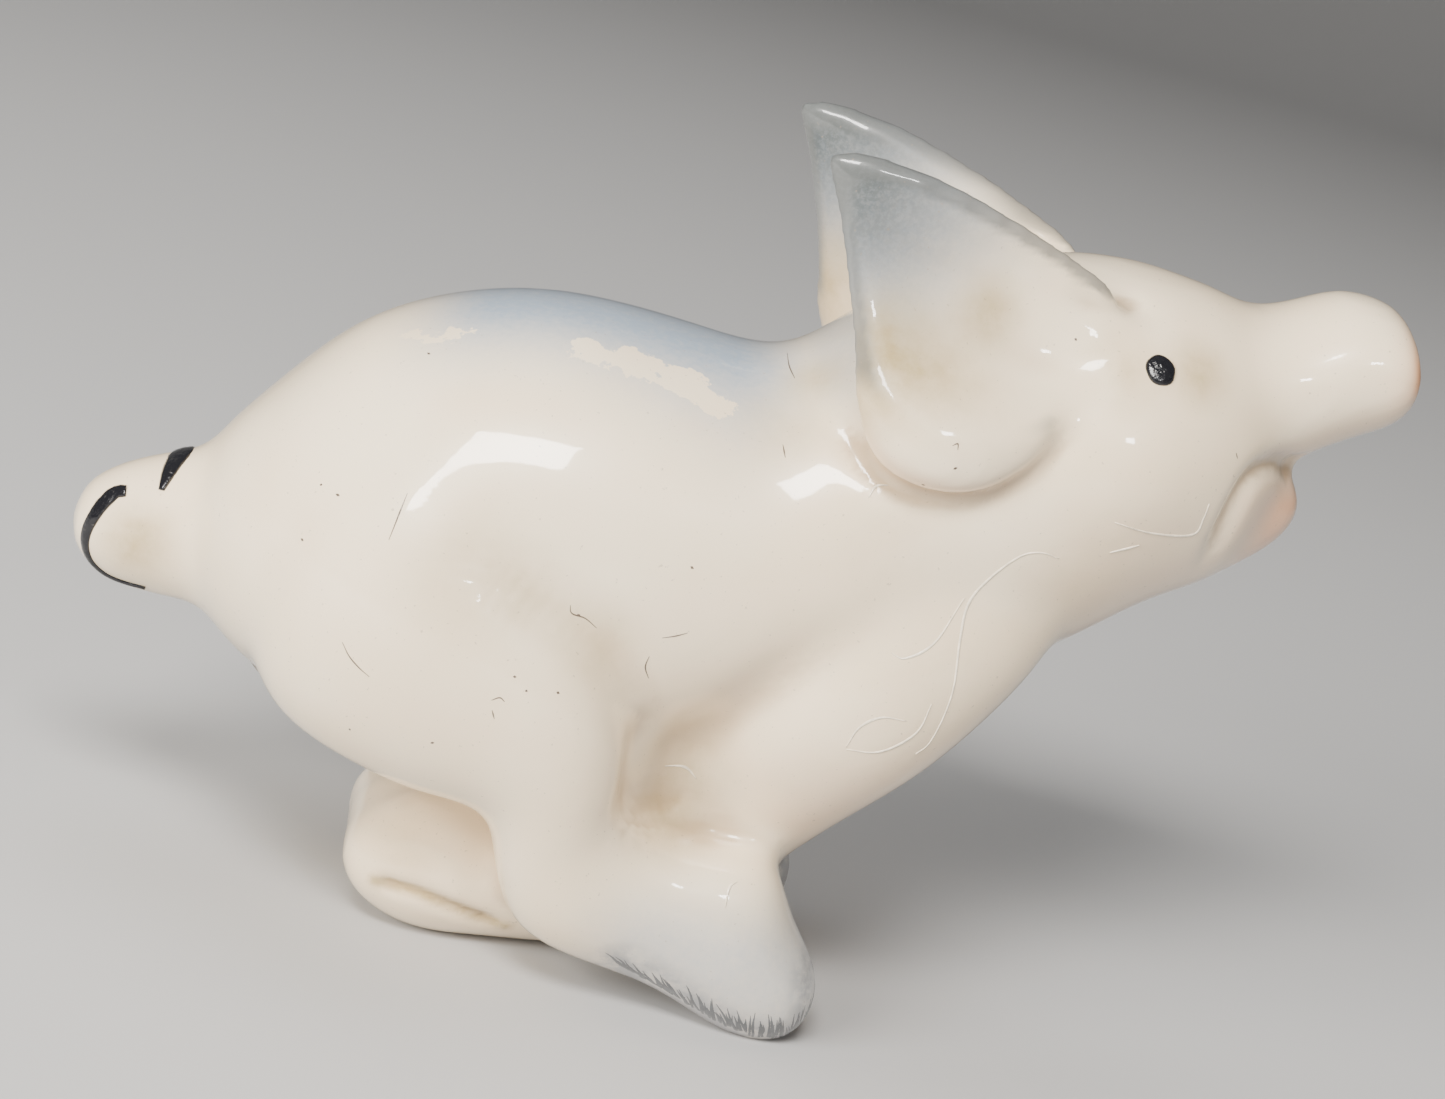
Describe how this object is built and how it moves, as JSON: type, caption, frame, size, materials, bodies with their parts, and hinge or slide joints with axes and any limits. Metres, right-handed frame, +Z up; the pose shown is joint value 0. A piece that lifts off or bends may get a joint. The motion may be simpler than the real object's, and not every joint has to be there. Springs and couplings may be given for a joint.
{
  "type": "figural animal coin bank",
  "caption": "Glazed ceramic money box shaped as a leaping pig, with a coin slot behind the ears and a rubber stopper under the rump.",
  "frame": {"origin": "bottom centre of the bounding box, on the plane that the soles stand on", "axes": "+X towards the snout, +Y towards the pig's left side, +Z up"},
  "size_m": [0.1871, 0.0789, 0.1304],
  "materials": {
    "cream_glaze": "glossy clear glaze over cream earthenware, airbrushed blue grey on the back, ear tips and feet",
    "black_enamel": "glossy raised black enamel",
    "stopper_rubber": "matt aged rubber"
  },
  "bodies": {
    "bank": {"body_shell": "cream_glaze", "tail_knob": "cream_glaze", "front_hooves": "cream_glaze", "ear_left": "cream_glaze", "ear_right": "cream_glaze", "eye_left": "black_enamel", "eye_right": "black_enamel", "tail_curl_enamel": "black_enamel", "tail_twist_enamel": "black_enamel"},
    "stopper": {"stopper": "stopper_rubber"}
  },
  "joints": [
    {"name": "stopper_pull", "type": "slide", "parent": "bank", "child": "stopper", "axis": [-0.2588, 0, -0.9659], "range_m": [0, 0.02]}
  ]
}
